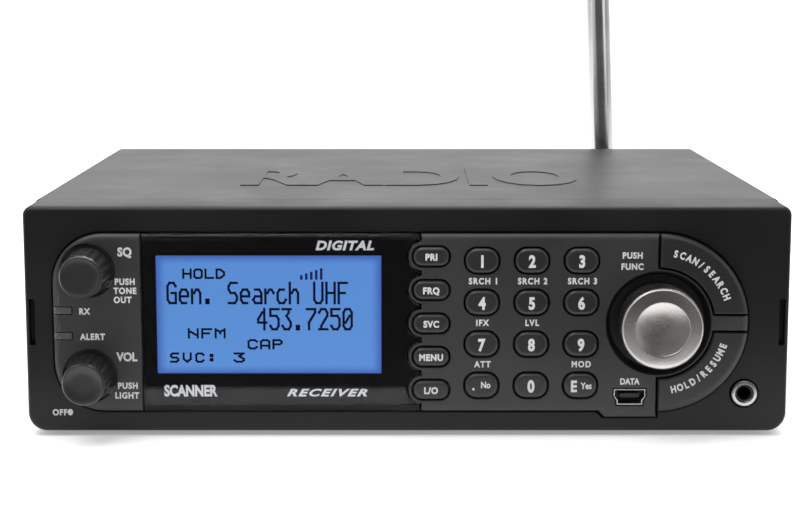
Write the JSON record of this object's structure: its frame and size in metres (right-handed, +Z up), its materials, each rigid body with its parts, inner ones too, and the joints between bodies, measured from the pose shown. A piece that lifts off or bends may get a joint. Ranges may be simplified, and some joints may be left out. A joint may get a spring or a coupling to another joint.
{
  "type": "mobile police scanner",
  "caption": "Mobile radio scanner in a flat steel case: backlit display, push keys, dial, squelch and volume knobs, rear sockets, folding telescopic antenna.",
  "frame": {"origin": "centre of the footprint of the whole object with the antenna folded up, on the surface that the rubber feet stand on", "axes": "+Z up, -Y out of the front panel towards the user, +X to the user's right"},
  "size_m": [0.184, 0.1868, 0.1948],
  "materials": {
    "bezel": "fine satin black moulding",
    "panel": "satin dark grey moulding",
    "key": "satin charcoal key caps with white legends",
    "lens": "polished clear lens, printed black behind",
    "display": "blue backlit display in a metal frame",
    "cover": "fine-textured dark grey paint on sheet steel",
    "tray": "plated sheet steel",
    "spun_metal": "turned and polished, with a knurled edge",
    "chrome": "bright plated brass tube",
    "steel": "nickel-plated steel",
    "rubber": "black rubber",
    "silicone": "grey silicone",
    "board": "glass-epoxy circuit board with green solder mask",
    "black_plastic": "black moulding",
    "light_pipe": "smoked clear plastic"
  },
  "bodies": {
    "root": {"front_bezel": "bezel", "control_panel": "panel", "keypad_panel": "panel", "display_lens": "lens", "display_module": "display", "top_cover": "cover", "rear_panel": "cover", "case_tray": "tray", "tuning_encoder": "steel", "squelch_control": "steel", "volume_control": "steel", "data_port": "steel", "phones_socket": "steel", "shield_can": "steel", "aerial_socket": "steel", "foot_front_left": "rubber", "foot_front_right": "rubber", "foot_rear_left": "rubber", "foot_rear_right": "rubber", "keypad_mat": "silicone", "front_board": "board", "main_board": "board", "speaker": "black_plastic", "power_socket": "black_plastic", "external_speaker_socket": "black_plastic", "status_light_pipe": "light_pipe"},
    "key_priority": {"key_priority": "key"},
    "key_frequency": {"key_frequency": "key"},
    "key_service": {"key_service": "key"},
    "key_menu": {"key_menu": "key"},
    "key_lockout": {"key_lockout": "key"},
    "key_1": {"key_1": "key"},
    "key_2": {"key_2": "key"},
    "key_3": {"key_3": "key"},
    "key_4": {"key_4": "key"},
    "key_5": {"key_5": "key"},
    "key_6": {"key_6": "key"},
    "key_7": {"key_7": "key"},
    "key_8": {"key_8": "key"},
    "key_9": {"key_9": "key"},
    "key_point": {"key_point": "key"},
    "key_0": {"key_0": "key"},
    "key_enter": {"key_enter": "key"},
    "key_scan": {"key_scan": "key"},
    "key_hold": {"key_hold": "key"},
    "tuning_push": {"tuning_plunger": "steel"},
    "tuning_dial": {"tuning_shaft": "steel", "tuning_knob": "spun_metal"},
    "squelch_push": {"squelch_plunger": "steel"},
    "squelch_dial": {"squelch_shaft": "steel", "squelch_knob": "black_plastic"},
    "volume_push": {"volume_plunger": "steel"},
    "volume_dial": {"volume_shaft": "steel", "volume_knob": "black_plastic"},
    "antenna_swivel": {"antenna_plug": "chrome"},
    "antenna_mast": {"antenna_elbow": "chrome", "antenna_tube_1": "chrome"},
    "antenna_stage_2": {"antenna_tube_2": "chrome"},
    "antenna_stage_3": {"antenna_tube_3": "chrome"},
    "antenna_stage_4": {"antenna_tip": "chrome"}
  },
  "joints": [
    {"name": "key_priority_press", "type": "slide", "parent": "root", "child": "key_priority", "axis": [0, 1, 0], "range_m": [0, 0.001], "stiffness_N_per_m": 300},
    {"name": "key_frequency_press", "type": "slide", "parent": "root", "child": "key_frequency", "axis": [0, 1, 0], "range_m": [0, 0.001], "stiffness_N_per_m": 300},
    {"name": "key_service_press", "type": "slide", "parent": "root", "child": "key_service", "axis": [0, 1, 0], "range_m": [0, 0.001], "stiffness_N_per_m": 300},
    {"name": "key_menu_press", "type": "slide", "parent": "root", "child": "key_menu", "axis": [0, 1, 0], "range_m": [0, 0.001], "stiffness_N_per_m": 300},
    {"name": "key_lockout_press", "type": "slide", "parent": "root", "child": "key_lockout", "axis": [0, 1, 0], "range_m": [0, 0.001], "stiffness_N_per_m": 300},
    {"name": "key_1_press", "type": "slide", "parent": "root", "child": "key_1", "axis": [0, 1, 0], "range_m": [0, 0.001], "stiffness_N_per_m": 300},
    {"name": "key_2_press", "type": "slide", "parent": "root", "child": "key_2", "axis": [0, 1, 0], "range_m": [0, 0.001], "stiffness_N_per_m": 300},
    {"name": "key_3_press", "type": "slide", "parent": "root", "child": "key_3", "axis": [0, 1, 0], "range_m": [0, 0.001], "stiffness_N_per_m": 300},
    {"name": "key_4_press", "type": "slide", "parent": "root", "child": "key_4", "axis": [0, 1, 0], "range_m": [0, 0.001], "stiffness_N_per_m": 300},
    {"name": "key_5_press", "type": "slide", "parent": "root", "child": "key_5", "axis": [0, 1, 0], "range_m": [0, 0.001], "stiffness_N_per_m": 300},
    {"name": "key_6_press", "type": "slide", "parent": "root", "child": "key_6", "axis": [0, 1, 0], "range_m": [0, 0.001], "stiffness_N_per_m": 300},
    {"name": "key_7_press", "type": "slide", "parent": "root", "child": "key_7", "axis": [0, 1, 0], "range_m": [0, 0.001], "stiffness_N_per_m": 300},
    {"name": "key_8_press", "type": "slide", "parent": "root", "child": "key_8", "axis": [0, 1, 0], "range_m": [0, 0.001], "stiffness_N_per_m": 300},
    {"name": "key_9_press", "type": "slide", "parent": "root", "child": "key_9", "axis": [0, 1, 0], "range_m": [0, 0.001], "stiffness_N_per_m": 300},
    {"name": "key_point_press", "type": "slide", "parent": "root", "child": "key_point", "axis": [0, 1, 0], "range_m": [0, 0.001], "stiffness_N_per_m": 300},
    {"name": "key_0_press", "type": "slide", "parent": "root", "child": "key_0", "axis": [0, 1, 0], "range_m": [0, 0.001], "stiffness_N_per_m": 300},
    {"name": "key_enter_press", "type": "slide", "parent": "root", "child": "key_enter", "axis": [0, 1, 0], "range_m": [0, 0.001], "stiffness_N_per_m": 300},
    {"name": "key_scan_press", "type": "slide", "parent": "root", "child": "key_scan", "axis": [0, 1, 0], "range_m": [0, 0.001], "stiffness_N_per_m": 300},
    {"name": "key_hold_press", "type": "slide", "parent": "root", "child": "key_hold", "axis": [0, 1, 0], "range_m": [0, 0.001], "stiffness_N_per_m": 300},
    {"name": "tuning_push", "type": "slide", "parent": "root", "child": "tuning_push", "axis": [0, 1, 0], "range_m": [0, 0.0008], "stiffness_N_per_m": 600},
    {"name": "tuning_turn", "type": "hinge", "parent": "tuning_push", "child": "tuning_dial", "pos_m": [0.0603, -0.0814, 0.02795], "axis": [0, 1, 0], "continuous": true},
    {"name": "squelch_push", "type": "slide", "parent": "root", "child": "squelch_push", "axis": [0, 1, 0], "range_m": [0, 0.0007], "stiffness_N_per_m": 600},
    {"name": "squelch_turn", "type": "hinge", "parent": "squelch_push", "child": "squelch_dial", "pos_m": [-0.0764, -0.0814, 0.04075], "axis": [0, 1, 0], "range_deg": [-265, 35]},
    {"name": "volume_push", "type": "slide", "parent": "root", "child": "volume_push", "axis": [0, 1, 0], "range_m": [0, 0.0007], "stiffness_N_per_m": 600},
    {"name": "volume_turn", "type": "hinge", "parent": "volume_push", "child": "volume_dial", "pos_m": [-0.0764, -0.0814, 0.01515], "axis": [0, 1, 0], "range_deg": [-265, 35]},
    {"name": "antenna_turn", "type": "hinge", "parent": "root", "child": "antenna_swivel", "pos_m": [0.0657, 0.07, 0.033], "axis": [0, 1, 0], "continuous": true},
    {"name": "antenna_fold", "type": "hinge", "parent": "antenna_swivel", "child": "antenna_mast", "pos_m": [0.0657, 0.089, 0.033], "axis": [-0.9989, 0, -0.0471], "range_deg": [0, 92]},
    {"name": "antenna_pull_2", "type": "slide", "parent": "antenna_mast", "child": "antenna_stage_2", "axis": [-0.0471, -0.0349, 0.9983], "range_m": [0, 0.115]},
    {"name": "antenna_pull_3", "type": "slide", "parent": "antenna_stage_2", "child": "antenna_stage_3", "axis": [-0.0471, -0.0349, 0.9983], "range_m": [0, 0.115]},
    {"name": "antenna_pull_4", "type": "slide", "parent": "antenna_stage_3", "child": "antenna_stage_4", "axis": [-0.0471, -0.0349, 0.9983], "range_m": [0, 0.115]}
  ]
}
